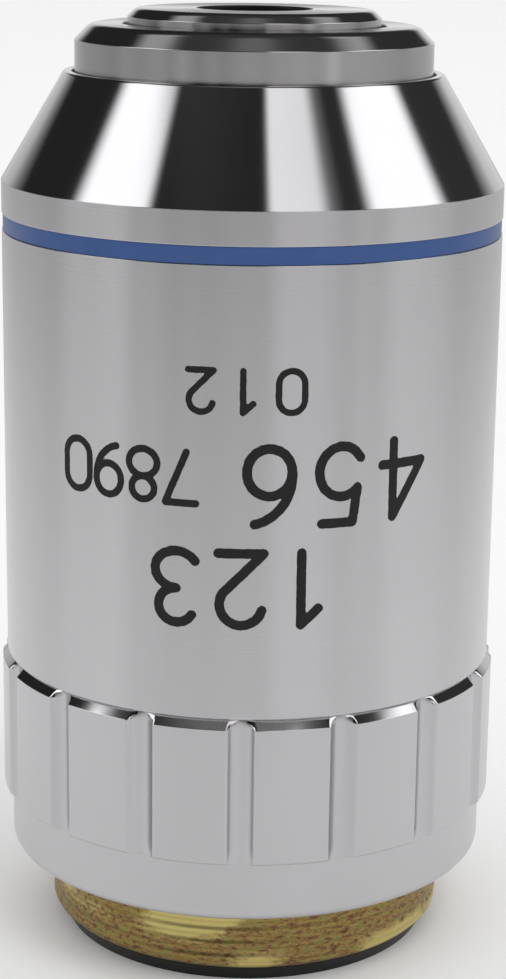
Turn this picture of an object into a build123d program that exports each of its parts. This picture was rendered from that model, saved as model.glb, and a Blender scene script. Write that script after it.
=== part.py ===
from build123d import *
import math
import os

# Microscope objective with a spring-loaded nose. Lengths are in millimetres.
# The origin is on the optical axis, in the rear face that the objective stands on.
# +Z runs along the axis towards the specimen.

# Connection to the microscope
thread_radius = 10.16            # standard objective thread, 20.32 across
thread_length = 3.5              # from the shoulder down, with its relief and lead-in
thread_relief_length = 0.6       # groove that lets the thread screw home to the shoulder
thread_relief_depth = 0.5
thread_lead_in = 0.28            # chamfer at the end of the thread
thread_wall = 1.46               # left between the thread and the spring chamber

# Grip ring
grip_height = 10.42
grip_land_rise = 0.25            # lands stand out from the sleeve
grip_band_step = 0.19            # plain band under the lands, in from the sleeve
grip_band_height = 3.1
grip_chamfer = 0.45              # polished bevel at the top of the lands
grip_land_round = 0.36           # lower end of the lands
grip_foot_round = 0.55           # edge of the seating shoulder
grip_lip_height = 0.8            # lip that clamps under the barrel's own shoulder
flute_count = 16
flute_width = 1.35
flute_depth = 0.42

# Outer sleeve, a cylinder that closes to a cone round the nose
sleeve_length = 23.98            # cylinder only, from the grip ring to the foot of the cone
sleeve_wall = 1.04
cone_height = 5.27
cone_edge_round = 0.15
cone_inner_drop = 0.8            # the inner cone starts this far under the outer one
mouth_height = 1.8               # straight bore at the top of the cone
mouth_wall = 0.38

# Colour code in its groove
band_width = 0.84
band_below_cone = 1.59
band_groove_depth = 0.3
band_recess = 0.05

# Fixed barrel
barrel_flange_height = 5.0       # seat of the sleeve, above the grip ring
barrel_wall = 1.8                # round the guide bore
barrel_sleeve_gap = 1.6          # air between the barrel and the sleeve
barrel_grip_step = 0.4           # seat of the grip ring, in from the seat of the sleeve
barrel_top_gap = 0.5             # left under the nose collar when the nose is pushed right in
stop_ledge = 0.7                 # step between the spring chamber and the guide bore

# Rear ring, screwed into the spring chamber
rear_lip_height = 0.83
rear_lip_taper = 0.49
rear_ring_reach = 1.0            # above the shoulder, where the spring sits
rear_ring_wall = 2.1
spanner_slot_width = 1.6
spanner_slot_depth = 1.0
spanner_slot_reach = 1.4         # out from the bore

# Nose: lens tube with its collar and front cell
nose_travel = 2.0
collar_wall = 1.5                # outside the lens tube's spigot
collar_height = 5.25
collar_rise = 2.28               # above the top of the cone
collar_chamfer = 0.78            # dark bevel round its front
collar_recess_gap = 0.25         # round the front disc
collar_spigot_depth = 2.8        # how far the lens tube reaches into the collar
front_disc_rise = 0.75           # above the collar
front_disc_height = 1.35
front_disc_chamfer = 0.42
front_disc_step = 0.72           # from the disc in to its shank
front_shank_wall = 2.1           # round the front lens
front_shank_gap = 0.9            # from the shank out to the bore of the lens tube
front_plate_thickness = 0.9
front_lip = 0.65                 # how far the plate reaches over the front lens
tube_wall = 1.55
tube_spigot_wall = 0.9
tube_flange_height = 2.0
tube_end_recess = 0.2            # behind the lock ring
tube_length = 25.16              # from the foot of the collar back, with the optics inside

# Fits
running_clearance = 0.05         # lens tube in its guide
flange_clearance = 0.1           # flange of the lens tube in the spring chamber
mouth_clearance = 0.15           # collar in the mouth of the sleeve
spring_clearance = 0.35          # spring in its chamber
cement_gap = 0.02                # round a lens in its cell
spring_end_gap = 0.03

# Guide screw, whose dog point runs in a slot of the lens tube
screw_drop = 10.2                # below the top of the barrel
screw_radius = 1.25
screw_point_radius = 0.8
screw_point_length = 0.75
screw_slot_width = 0.5
screw_slot_depth = 0.5
key_slot_side_gap = 0.05
key_slot_depth = 0.95

# Spring
wire_radius = 0.5
wire_sides = 8
spring_turns = 5

# Lenses. Thicknesses are those at the edge. A curve is the radius of curvature of a surface as a multiple
# of the lens's edge radius: above zero it bulges to the front, below zero to the rear.
front_edge_thickness = 3.06
front_curves = (-2.94, -1.235)   # hollow in front and nearly a half ball behind
second_cell_wall = 1.8           # walls of the cells are measured round their lenses
second_edge_thickness = 1.73
second_curves = (-5.4, -1.78)
third_cell_wall = 1.4
third_crown_edge_thickness = 0.65
third_flint_edge_thickness = 2.35
third_curves = (2.8, -1.7, -4.4)
fourth_cell_wall = 1.4
fourth_flint_edge_thickness = 2.59
fourth_crown_edge_thickness = 0.38
fourth_curves = (6.0, 1.56, -3.6)
rear_cell_wall = 2.2
rear_crown_edge_thickness = 0.97
rear_flint_edge_thickness = 2.97
rear_curves = (1.79, -3.8, 1.67)
cell_lip = 0.45                  # how far a cell's lip reaches under its lens
cell_lip_height = 0.6            # least height of that lip
vertex_guard = 0.2               # a cell stands this far past the vertex of its lens
stop_thickness = 0.4
stop_width = 3.4                 # from the bore of the lens tube in to the hole
spacer_wall = 1.0
lock_ring_height = 1.2
lock_ring_wall = 1.4
lock_slot_width = 1.2
lock_slot_depth = 0.7


def surface_height(vertex, curve, radius):
    """Height of a spherical surface at a distance from the axis."""
    return vertex - curve + math.copysign(math.sqrt(curve**2 - radius**2), curve)


def lens_seat(edge, lower):
    """Height at which the lip of a cell meets the lower surface of its lens."""
    return min(surface_height(*lower, edge - cell_lip), surface_height(*lower, edge))


def stack_surfaces(rim, edge, thicknesses, curves):
    """Surfaces from front to rear as (vertex height, radius of curvature), down from the upper rim."""
    surfaces = []
    for thickness, curve in zip([0, *thicknesses], curves):
        rim = rim - thickness
        surfaces.append((rim - surface_height(0, curve * edge, edge), curve * edge))
    return surfaces


def stack_group(top, edge, thicknesses, curves):
    """Place a group of lenses under a height: its surfaces and the foot of its cell."""
    rim = top - vertex_guard + min(0, surface_height(0, curves[0] * edge, edge))
    surfaces = stack_surfaces(rim, edge, thicknesses, curves)
    lower = surfaces[-1]
    return surfaces, min(lower[0] - vertex_guard, lens_seat(edge, lower) - cell_lip_height)


# Radii, from the thread inwards and then out to the sleeve
chamber_radius = thread_radius - thread_wall
guide_radius = chamber_radius - stop_ledge
tube_radius = guide_radius - running_clearance
tube_bore = tube_radius - tube_wall
tube_spigot_radius = tube_bore + tube_spigot_wall
tube_flange_radius = chamber_radius - flange_clearance
collar_radius = tube_spigot_radius + collar_wall
mouth_radius = collar_radius + mouth_clearance
front_shank_radius = tube_bore - front_shank_gap
front_disc_radius = front_shank_radius + front_disc_step
front_lens_radius = front_shank_radius - front_shank_wall
front_hole_radius = front_lens_radius - front_lip
barrel_body_radius = guide_radius + barrel_wall
sleeve_bore = barrel_body_radius + barrel_sleeve_gap
sleeve_radius = sleeve_bore + sleeve_wall
barrel_grip_radius = sleeve_bore - barrel_grip_step
grip_land_radius = sleeve_radius + grip_land_rise
grip_band_radius = sleeve_radius - grip_band_step

# Heights of the case above the rear face
shoulder = rear_lip_height + thread_length
grip_top = shoulder + grip_height
cone_foot = grip_top + sleeve_length
cone_top = cone_foot + cone_height
collar_top = cone_top + collar_rise
collar_foot = collar_top - collar_height
barrel_top = collar_foot - nose_travel - barrel_top_gap
screw_height = barrel_top - screw_drop
tube_top = collar_foot + collar_spigot_depth

# Heights of the optics, stacked down from the front plate, and of what follows from them
nose_top = collar_top + front_disc_rise
front_disc_foot = nose_top - front_disc_height
front_plate_foot = nose_top - front_plate_thickness
front_surfaces = stack_surfaces(
    front_plate_foot, front_lens_radius, [front_edge_thickness], front_curves
)
front_shank_foot = front_surfaces[-1][0] - vertex_guard

second_edge = tube_bore - second_cell_wall
second_surfaces, second_foot = stack_group(
    front_shank_foot, second_edge, [second_edge_thickness], second_curves
)
third_edge = tube_bore - third_cell_wall
third_thicknesses = [third_crown_edge_thickness, third_flint_edge_thickness]
third_surfaces, third_foot = stack_group(second_foot, third_edge, third_thicknesses, third_curves)
fourth_edge = tube_bore - fourth_cell_wall
fourth_thicknesses = [fourth_flint_edge_thickness, fourth_crown_edge_thickness]
fourth_surfaces, stop_top = stack_group(third_foot, fourth_edge, fourth_thicknesses, fourth_curves)
spacer_top = stop_top - stop_thickness

# The rear group stands on the lock ring at the end of the tube, and the spacer fills what is left
tube_rear = collar_foot - tube_length
chamber_depth = tube_rear + tube_flange_height
lock_ring_foot = tube_rear + tube_end_recess
rear_cell_foot = lock_ring_foot + lock_ring_height
rear_edge = tube_bore - rear_cell_wall
rear_thicknesses = [rear_crown_edge_thickness, rear_flint_edge_thickness]
_, rear_group_foot = stack_group(0, rear_edge, rear_thicknesses, rear_curves)
spacer_foot = rear_cell_foot - rear_group_foot
rear_surfaces, _ = stack_group(spacer_foot, rear_edge, rear_thicknesses, rear_curves)

os.makedirs("parts", exist_ok=True)


def lens_piece(edge_radius, upper, lower):
    """A lens between two spherical surfaces, each given as (vertex height, radius of curvature)."""
    mid = edge_radius / 2
    with BuildPart() as glass:
        with BuildSketch(Plane.XZ):
            with BuildLine():
                top = ThreePointArc(
                    (0, upper[0]),
                    (mid, surface_height(*upper, mid)),
                    (edge_radius, surface_height(*upper, edge_radius)),
                )
                bottom = ThreePointArc(
                    (0, lower[0]),
                    (mid, surface_height(*lower, mid)),
                    (edge_radius, surface_height(*lower, edge_radius)),
                )
                Line(top @ 1, bottom @ 1)
                Line(bottom @ 0, top @ 0)
            make_face()
        revolve(axis=Axis.Z)
    return glass


def cell_piece(top, foot, edge_radius, lower):
    """A turned ring that holds a lens on a lip under its edge."""
    lip_radius = edge_radius - cell_lip
    seat = lens_seat(edge_radius, lower)
    pocket = edge_radius + cement_gap
    with BuildPart() as ring:
        with BuildSketch(Plane.XZ):
            with BuildLine():
                Polyline(
                    (tube_bore, foot),
                    (tube_bore, top),
                    (pocket, top),
                    (pocket, seat),
                    (lip_radius, seat),
                    (lip_radius, foot),
                    close=True,
                )
            make_face()
        revolve(axis=Axis.Z)
    return ring


# Fixed barrel: thread, seats for the ring and the sleeve, spring chamber and guide bore
relief_radius = thread_radius - thread_relief_depth
with BuildPart() as main_barrel:
    with BuildSketch(Plane.XZ):
        with BuildLine():
            Polyline(
                (chamber_radius, rear_lip_height),
                (thread_radius - thread_lead_in, rear_lip_height),
                (thread_radius, rear_lip_height + thread_lead_in),
                (thread_radius, shoulder - thread_relief_length),
                (relief_radius, shoulder - thread_relief_length),
                (relief_radius, shoulder),
                (thread_radius, shoulder),
                (thread_radius, shoulder + grip_lip_height),
                (barrel_grip_radius, shoulder + grip_lip_height),
                (barrel_grip_radius, grip_top),
                (sleeve_bore, grip_top),
                (sleeve_bore, grip_top + barrel_flange_height),
                (barrel_body_radius, grip_top + barrel_flange_height),
                (barrel_body_radius, barrel_top),
                (guide_radius, barrel_top),
                (guide_radius, chamber_depth),
                (chamber_radius, chamber_depth),
                close=True,
            )
        make_face()
    revolve(axis=Axis.Z)
    with Locations(Plane(origin=(barrel_body_radius, 0, screw_height), z_dir=(1, 0, 0))):
        Hole(screw_radius, depth=barrel_wall + stop_ledge)
main_barrel.part.label = "main_barrel"
export_step(main_barrel.part, "parts/main_barrel.step")

# Grip ring: bevelled lands, milled flutes, plain band and the shoulder that seats on the microscope
land_foot = shoulder + grip_band_height
flute_floor = grip_land_radius - flute_depth
flute_cutter = (flute_width**2 / 4 + flute_depth**2) / (2 * flute_depth)
with BuildPart() as grip_ring:
    with BuildSketch(Plane.XZ) as grip_profile:
        with BuildLine():
            Polyline(
                (thread_radius, shoulder),
                (grip_band_radius, shoulder),
                (grip_band_radius, land_foot),
                (grip_land_radius, land_foot),
                (grip_land_radius, grip_top - grip_chamfer),
                (grip_land_radius - grip_chamfer, grip_top),
                (barrel_grip_radius, grip_top),
                (barrel_grip_radius, shoulder + grip_lip_height),
                (thread_radius, shoulder + grip_lip_height),
                close=True,
            )
        make_face()
        land_corner = grip_profile.vertices().sort_by_distance((grip_land_radius, land_foot))[0]
        fillet(land_corner, grip_land_round)
        foot_corner = grip_profile.vertices().sort_by_distance((grip_band_radius, shoulder))[0]
        fillet(foot_corner, grip_foot_round)
    revolve(axis=Axis.Z)
    with BuildSketch(Plane.XY.offset(land_foot)):
        with PolarLocations(flute_floor + flute_cutter, flute_count, start_angle=-90):
            Circle(flute_cutter)
    extrude(amount=grip_top - land_foot, mode=Mode.SUBTRACT)
grip_ring.part.label = "grip_ring"
export_step(grip_ring.part, "parts/grip_ring.step")

# Outer sleeve: one turned shell, with the groove for the colour code
band_top = cone_foot - band_below_cone
band_foot = band_top - band_width
with BuildPart() as outer_sleeve:
    with BuildSketch(Plane.XZ):
        with BuildLine():
            Polyline(
                (sleeve_bore, grip_top),
                (sleeve_radius, grip_top),
                (sleeve_radius, band_foot),
                (sleeve_radius - band_groove_depth, band_foot),
                (sleeve_radius - band_groove_depth, band_top),
                (sleeve_radius, band_top),
                (sleeve_radius, cone_foot),
                (mouth_radius + mouth_wall, cone_top),
                (mouth_radius, cone_top),
                (mouth_radius, cone_top - mouth_height),
                (sleeve_bore, cone_foot - cone_inner_drop),
                close=True,
            )
        profile = make_face()
        fillet(profile.vertices().group_by(Axis.Y)[-1].sort_by(Axis.X)[-1], cone_edge_round)
    revolve(axis=Axis.Z)
outer_sleeve.part.label = "outer_sleeve"
export_step(outer_sleeve.part, "parts/outer_sleeve.step")

# Colour code: enamel that fills the groove almost to the surface
with BuildPart() as colour_band:
    with BuildSketch(Plane.XY.offset(band_foot)):
        Circle(sleeve_radius - band_recess)
        Circle(sleeve_radius - band_groove_depth, mode=Mode.SUBTRACT)
    extrude(amount=band_width)
colour_band.part.label = "colour_band"
export_step(colour_band.part, "parts/colour_band.step")

# Rear ring: closes the spring chamber and ends in the black bevelled lip, with two spanner slots
rear_ring_bore = chamber_radius - rear_ring_wall
rear_ring_top = shoulder + rear_ring_reach
rear_lip_radius = thread_radius - thread_lead_in
with BuildPart() as rear_ring:
    with BuildSketch(Plane.XZ):
        with BuildLine():
            Polyline(
                (rear_ring_bore, 0),
                (rear_lip_radius - rear_lip_taper, 0),
                (rear_lip_radius, rear_lip_height),
                (chamber_radius, rear_lip_height),
                (chamber_radius, rear_ring_top),
                (rear_ring_bore, rear_ring_top),
                close=True,
            )
        make_face()
    revolve(axis=Axis.Z)
    with BuildSketch():
        Rectangle(spanner_slot_width, 2 * (rear_ring_bore + spanner_slot_reach))
    extrude(amount=spanner_slot_depth, mode=Mode.SUBTRACT)
rear_ring.part.label = "rear_ring"
export_step(rear_ring.part, "parts/rear_ring.step")

# Lens tube: slides in the barrel, stopped by its rear flange and kept from turning by a slot
with BuildPart() as lens_tube:
    with BuildSketch(Plane.XZ):
        with BuildLine():
            Polyline(
                (tube_bore, tube_rear),
                (tube_flange_radius, tube_rear),
                (tube_flange_radius, chamber_depth),
                (tube_radius, chamber_depth),
                (tube_radius, collar_foot),
                (tube_spigot_radius, collar_foot),
                (tube_spigot_radius, tube_top),
                (tube_bore, tube_top),
                close=True,
            )
        make_face()
    revolve(axis=Axis.Z)
    slot_reach = screw_point_radius + key_slot_side_gap
    with BuildSketch(Plane(origin=(tube_radius, 0, screw_height), x_dir=(0, 0, 1), z_dir=(1, 0, 0))):
        with Locations((nose_travel / 2, 0)):
            SlotOverall(nose_travel + 2 * slot_reach, 2 * slot_reach)
    extrude(amount=-key_slot_depth, mode=Mode.SUBTRACT)
lens_tube.part.label = "lens_tube"
export_step(lens_tube.part, "parts/lens_tube.step")

# Nose collar: the bevelled ring that shows at the mouth of the cone, screwed on the lens tube
with BuildPart() as nose_collar:
    with BuildSketch(Plane.XZ):
        with BuildLine():
            Polyline(
                (tube_spigot_radius, collar_foot),
                (collar_radius, collar_foot),
                (collar_radius, collar_top),
                (front_disc_radius + collar_recess_gap, collar_top),
                (front_disc_radius + collar_recess_gap, front_disc_foot),
                (front_shank_radius, front_disc_foot),
                (front_shank_radius, tube_top),
                (tube_spigot_radius, tube_top),
                close=True,
            )
        profile = make_face()
        chamfer(profile.vertices().group_by(Axis.Y)[-1].sort_by(Axis.X)[-1], collar_chamfer)
    revolve(axis=Axis.Z)
nose_collar.part.label = "nose_collar"
export_step(nose_collar.part, "parts/nose_collar.step")

# Front cell: the disc with the viewing hole, and the shank that holds the front lens
front_pocket = front_lens_radius + cement_gap
with BuildPart() as front_cell:
    with BuildSketch(Plane.XZ):
        with BuildLine():
            Polyline(
                (front_hole_radius, nose_top),
                (front_disc_radius, nose_top),
                (front_disc_radius, front_disc_foot),
                (front_shank_radius, front_disc_foot),
                (front_shank_radius, front_shank_foot),
                (front_pocket, front_shank_foot),
                (front_pocket, front_plate_foot),
                (front_hole_radius, front_plate_foot),
                close=True,
            )
        profile = make_face()
        chamfer(profile.vertices().group_by(Axis.Y)[-1].sort_by(Axis.X)[-1], front_disc_chamfer)
    revolve(axis=Axis.Z)
front_cell.part.label = "front_cell"
export_step(front_cell.part, "parts/front_cell.step")

# Front lens, with the rim of its hollow side against the front plate
front_lens = lens_piece(front_lens_radius, *front_surfaces)
front_lens.part.label = "front_lens"
export_step(front_lens.part, "parts/front_lens.step")

# The other lenses, each group cemented together and held in its own cell
groups = [
    ("second", ["lens"], second_edge, second_surfaces, front_shank_foot, second_foot),
    ("third", ["crown", "flint"], third_edge, third_surfaces, second_foot, third_foot),
    ("fourth", ["flint", "crown"], fourth_edge, fourth_surfaces, third_foot, stop_top),
    ("rear", ["crown", "flint"], rear_edge, rear_surfaces, spacer_foot, rear_cell_foot),
]
for name, glasses, edge, surfaces, cell_top, cell_foot in groups:
    for glass, upper, lower in zip(glasses, surfaces, surfaces[1:]):
        lens = lens_piece(edge, upper, lower)
        lens.part.label = f"{name}_{glass}"
        export_step(lens.part, f"parts/{name}_{glass}.step")
    cell = cell_piece(cell_top, cell_foot, edge, surfaces[-1])
    cell.part.label = f"{name}_cell"
    export_step(cell.part, f"parts/{name}_cell.step")

# Aperture stop under the fourth group, and the tube that spaces it from the rear group
with BuildPart() as aperture_stop:
    with BuildSketch(Plane.XY.offset(spacer_top)):
        Circle(tube_bore)
        Circle(tube_bore - stop_width, mode=Mode.SUBTRACT)
    extrude(amount=stop_thickness)
aperture_stop.part.label = "aperture_stop"
export_step(aperture_stop.part, "parts/aperture_stop.step")

with BuildPart() as spacer_tube:
    with BuildSketch(Plane.XY.offset(spacer_foot)):
        Circle(tube_bore)
        Circle(tube_bore - spacer_wall, mode=Mode.SUBTRACT)
    extrude(amount=spacer_top - spacer_foot)
spacer_tube.part.label = "spacer_tube"
export_step(spacer_tube.part, "parts/spacer_tube.step")

# Lock ring: slotted ring that clamps the stack of cells from the rear
with BuildPart() as lock_ring:
    with BuildSketch(Plane.XY.offset(lock_ring_foot)):
        Circle(tube_bore)
        Circle(tube_bore - lock_ring_wall, mode=Mode.SUBTRACT)
    extrude(amount=lock_ring_height)
    with BuildSketch(Plane.XY.offset(lock_ring_foot)):
        Rectangle(2 * tube_bore, lock_slot_width)
    extrude(amount=lock_slot_depth, mode=Mode.SUBTRACT)
lock_ring.part.label = "lock_ring"
export_step(lock_ring.part, "parts/lock_ring.step")

# Guide screw: screwed through the barrel wall, with its point in the slot of the lens tube
point_tip = guide_radius - screw_point_length
with BuildPart() as guide_screw:
    with BuildSketch(Plane(origin=(point_tip, 0, screw_height), z_dir=(1, 0, 0))):
        Circle(screw_point_radius)
    extrude(amount=screw_point_length)
    with BuildSketch(Plane(origin=(guide_radius, 0, screw_height), z_dir=(1, 0, 0))):
        Circle(screw_radius)
    extrude(amount=barrel_body_radius - guide_radius)
    with BuildSketch(Plane(origin=(barrel_body_radius, 0, screw_height), z_dir=(1, 0, 0))):
        Rectangle(screw_slot_width, 2 * screw_radius)
    extrude(amount=-screw_slot_depth, mode=Mode.SUBTRACT)
guide_screw.part.label = "guide_screw"
export_step(guide_screw.part, "parts/guide_screw.step")

# Nose spring: pushes the lens tube forward against its stop. Flats stand for its round wire.
spring_radius = chamber_radius - spring_clearance - wire_radius
spring_foot = rear_ring_top + spring_end_gap + wire_radius
spring_rise = tube_rear - spring_end_gap - wire_radius - spring_foot
with BuildPart() as nose_spring:
    with BuildLine():
        coil = Helix(spring_rise / spring_turns, spring_rise, spring_radius, center=(0, 0, spring_foot))
    with BuildSketch(Plane(origin=coil @ 0, z_dir=coil % 0)):
        RegularPolygon(wire_radius, wire_sides)
    sweep(is_frenet=True)
nose_spring.part.label = "nose_spring"
export_step(nose_spring.part, "parts/nose_spring.step")
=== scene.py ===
# %% [markdown]
# # A spring-loaded microscope objective
# The objective stands on its thread end, nose up. The CAD model gives the frame: every piece made here has
# the place and the size of the CAD solid that it stands for. It only adds what the solid leaves out, such
# as eased edges, the thread, the numbers and the finish of the metal.

# %% Load the fixed frame
import bmesh
import bpy
import math
import numpy as np
from mathutils import Matrix, Vector


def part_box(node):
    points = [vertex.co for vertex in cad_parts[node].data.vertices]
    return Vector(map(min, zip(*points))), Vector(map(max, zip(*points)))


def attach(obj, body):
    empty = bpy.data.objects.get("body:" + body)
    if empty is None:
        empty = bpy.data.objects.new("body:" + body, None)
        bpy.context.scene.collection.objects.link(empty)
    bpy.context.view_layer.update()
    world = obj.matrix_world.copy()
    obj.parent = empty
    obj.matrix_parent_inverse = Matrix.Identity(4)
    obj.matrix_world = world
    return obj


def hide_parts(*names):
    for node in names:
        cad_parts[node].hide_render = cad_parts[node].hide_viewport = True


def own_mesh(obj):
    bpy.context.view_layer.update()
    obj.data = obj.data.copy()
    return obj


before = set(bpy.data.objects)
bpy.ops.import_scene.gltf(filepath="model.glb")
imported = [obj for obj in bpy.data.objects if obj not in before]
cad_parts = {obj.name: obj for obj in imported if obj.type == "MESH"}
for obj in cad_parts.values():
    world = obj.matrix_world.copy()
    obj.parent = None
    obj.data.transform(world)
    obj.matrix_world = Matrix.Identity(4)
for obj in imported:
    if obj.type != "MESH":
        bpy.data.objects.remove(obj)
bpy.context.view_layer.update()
MM = 0.001

# %% [markdown]
# ## Camera
# The photograph was taken from close by, with a lens a little above the objective that looks down on it. So
# the ellipses of the ring and the collar open to different widths, and the sides lean in towards the foot.
# The place and the tilt below come from fitting a pinhole camera to those ellipses. The camera stands 0.97
# degrees off the front, because the flute that faces the front shows a little to the left of the middle.

# %% Set up the camera
CAMERA_PLACE = Vector((0.2, -115.43, 52.43)) * MM
CAMERA_TILT = math.radians(14.405)
CAMERA_ROLL = math.radians(0.709)
CAMERA_TURN = math.radians(0.97)
CAMERA_LENS, SENSOR_WIDTH = 85.285, 36      # millimetres
NEAREST_SEEN = 0.005                        # metres

forward = Vector((0, math.cos(CAMERA_TILT), -math.sin(CAMERA_TILT)))
upward = Vector((0, math.sin(CAMERA_TILT), math.cos(CAMERA_TILT)))
sideways = Vector((1, 0, 0))
rolled_side = sideways * math.cos(CAMERA_ROLL) + upward * math.sin(CAMERA_ROLL)
rolled_up = upward * math.cos(CAMERA_ROLL) - sideways * math.sin(CAMERA_ROLL)
axes = Matrix((rolled_side, rolled_up, -forward)).transposed().to_4x4()

camera_data = bpy.data.cameras.new("camera")
camera_data.lens = CAMERA_LENS
camera_data.sensor_width = SENSOR_WIDTH
camera_data.clip_start = NEAREST_SEEN
camera = bpy.data.objects.new("camera", camera_data)
camera.matrix_world = Matrix.Rotation(CAMERA_TURN, 4, "Z") @ Matrix.Translation(CAMERA_PLACE) @ axes
bpy.context.scene.collection.objects.link(camera)
bpy.context.scene.camera = camera
bpy.context.scene.view_settings.view_transform = "Standard"
print("camera at", [round(v, 4) for v in camera.matrix_world.translation])

# %% [markdown]
# ## Room
# Polished metal has no colour of its own to show: it shows the room. The object stands on a wide pale
# floor, under an even light. What the metal mirrors is a studio with three tall white panels, to the left,
# at the front right and to the right. The room is dark between them, where the photographer stands, and so
# is the ceiling. Panels of mesh would also light the dull parts, so one world shader holds all of it. A ray
# that only gathers light on a dull surface gets a plain even white, and a mirrored ray gets the panels.


# %% Helpers for materials
def new_finish(name):
    """A material with its shader and its node tree."""
    material = bpy.data.materials.new(name)
    material.use_nodes = True
    return material, material.node_tree, material.node_tree.nodes["Principled BSDF"]


def math_node(tree, operation, first, second=None, third=None):
    """A Math node; each input is a number or an output socket."""
    node = tree.nodes.new("ShaderNodeMath")
    node.operation = operation
    for socket, value in zip(node.inputs, (first, second, third)):
        if value is None:
            continue
        if isinstance(value, (int, float)):
            socket.default_value = value
        else:
            tree.links.new(value, socket)
    return node.outputs[0]


def ramp_node(tree, position, stops):
    """A colour ramp over a value from 0 to 1; each stop is (place, grey level or colour)."""
    node = tree.nodes.new("ShaderNodeValToRGB")
    ramp = node.color_ramp
    while len(ramp.elements) < len(stops):
        ramp.elements.new(1.0)
    for element, (place, level) in zip(ramp.elements, stops):
        element.position = place
        rgb = (level, level, level) if isinstance(level, (int, float)) else level
        element.color = (*rgb, 1)
    tree.links.new(position, node.inputs[0])
    return node.outputs[0]


def mix_node(tree, factor, first, second):
    """Mix two colours; each is a colour or an output socket."""
    node = tree.nodes.new("ShaderNodeMix")
    node.data_type = "RGBA"
    for socket, value in ((node.inputs[0], factor), (node.inputs[6], first), (node.inputs[7], second)):
        if isinstance(value, (int, float)):
            socket.default_value = value
        elif isinstance(value, tuple):
            socket.default_value = (*value, 1)
        else:
            tree.links.new(value, socket)
    return node.outputs[2]


def xyz_parts(tree, vector):
    """The three parts of a vector, as outputs."""
    node = tree.nodes.new("ShaderNodeSeparateXYZ")
    tree.links.new(vector, node.inputs[0])
    return list(node.outputs)


def length_node(tree, vector):
    """The length of a vector."""
    node = tree.nodes.new("ShaderNodeVectorMath")
    node.operation = "LENGTH"
    tree.links.new(vector, node.inputs[0])
    return node.outputs["Value"]


def bearing_node(tree, direction):
    """How far round a direction points, from 0 to 1: 0.5 is the front, and more is to the right."""
    toward = math_node(tree, "MULTIPLY", direction[1], -1.0)
    bearing = math_node(tree, "ARCTAN2", direction[0], toward)
    return math_node(tree, "MULTIPLY_ADD", bearing, 0.5 / math.pi, 0.5)


def bearing_ramp(tree, bearing, levels):
    """A colour ramp over a bearing; each stop is (degrees from the front, level)."""
    return ramp_node(tree, bearing, [((degrees + 180) / 360, level) for degrees, level in levels])


print("helpers for materials are ready")

# %% [markdown]
# ## Floor
# A sheet of white paper. The camera looks down on it a little, so the upright metal mirrors it. For
# mirrored rays only, the floor carries a painted reflection: a painted pool of light round the objective
# that falls off to grey further out, and painted light and shade by bearing far off. A small plane would
# show its edge in the picture. So one wide plane holds it, while the camera sees the same white everywhere.

# %% Floor
FLOOR_HALF = 3.0
PAPER = 0.98
# Painted reflection on the floor for mirrored rays: a painted pool of light, level by distance in metres,
# and painted light and shade far off, by bearing in degrees
PAINTED_POOL = [(0.06, PAPER), (0.10, 0.92), (0.17, 0.74), (0.28, 0.58), (0.65, 0.42)]
PAINTED_FAR_SHADE = [
    (-180, 0.7), (-150, 0.5), (-116, 0.25), (-86, 0.25), (-70, 0.3), (-34, 0.32), (-8, 0.48), (11, 0.52),
    (30, 0.58), (52, 0.68), (58, 0.45), (81, 0.42), (110, 0.32), (146, 0.5), (180, 0.7),
]
POOL_END, FAR_SHADE_START = 0.38, 0.55      # between these distances the one turns into the other
floor_mesh = bpy.data.meshes.new("floor")
floor_corners = [(-FLOOR_HALF, -FLOOR_HALF, 0), (FLOOR_HALF, -FLOOR_HALF, 0)]
floor_corners += [(FLOOR_HALF, FLOOR_HALF, 0), (-FLOOR_HALF, FLOOR_HALF, 0)]
floor_mesh.from_pydata(floor_corners, [], [(0, 1, 2, 3)])
floor = bpy.data.objects.new("floor", floor_mesh)
bpy.context.scene.collection.objects.link(floor)
paper, paper_tree, paper_shader = new_finish("floor_paper")
spot = paper_tree.nodes.new("ShaderNodeNewGeometry").outputs["Position"]
from_axis = length_node(paper_tree, spot)
painted_pool = ramp_node(paper_tree, from_axis, PAINTED_POOL)
painted_far_shade = bearing_ramp(paper_tree, bearing_node(paper_tree, xyz_parts(paper_tree, spot)), PAINTED_FAR_SHADE)
far_off = ramp_node(paper_tree, from_axis, [(POOL_END, 0.0), (FAR_SHADE_START, 1.0)])
# Painted reflection: mirrored rays see the painted pool of light and the painted far shade, all other rays
# see plain paper
painted_floor_reflection = mix_node(paper_tree, far_off, painted_pool, painted_far_shade)
glossy_ray = paper_tree.nodes.new("ShaderNodeLightPath").outputs["Is Glossy Ray"]
paper_and_painted_reflection = mix_node(paper_tree, glossy_ray, (PAPER, PAPER, PAPER), painted_floor_reflection)
paper_tree.links.new(paper_and_painted_reflection, paper_shader.inputs["Base Color"])
paper_shader.inputs["Roughness"].default_value = 0.9
paper_shader.inputs["Specular IOR Level"].default_value = 0.1
floor_mesh.materials.append(paper)
print("floor", 2 * FLOOR_HALF, "m wide")

# %% [markdown]
# ## Studio
# What a mirrored ray meets is told by two angles: its bearing round the axis and its rise above the floor.
# Four belts of the room lie one above the other, each with its own levels by bearing: the foot of the
# walls, the panels, the high walls and the ceiling. An image of a room would do too, but it would hold far
# more than the metal can show, and a list of levels is easily changed.

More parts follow.
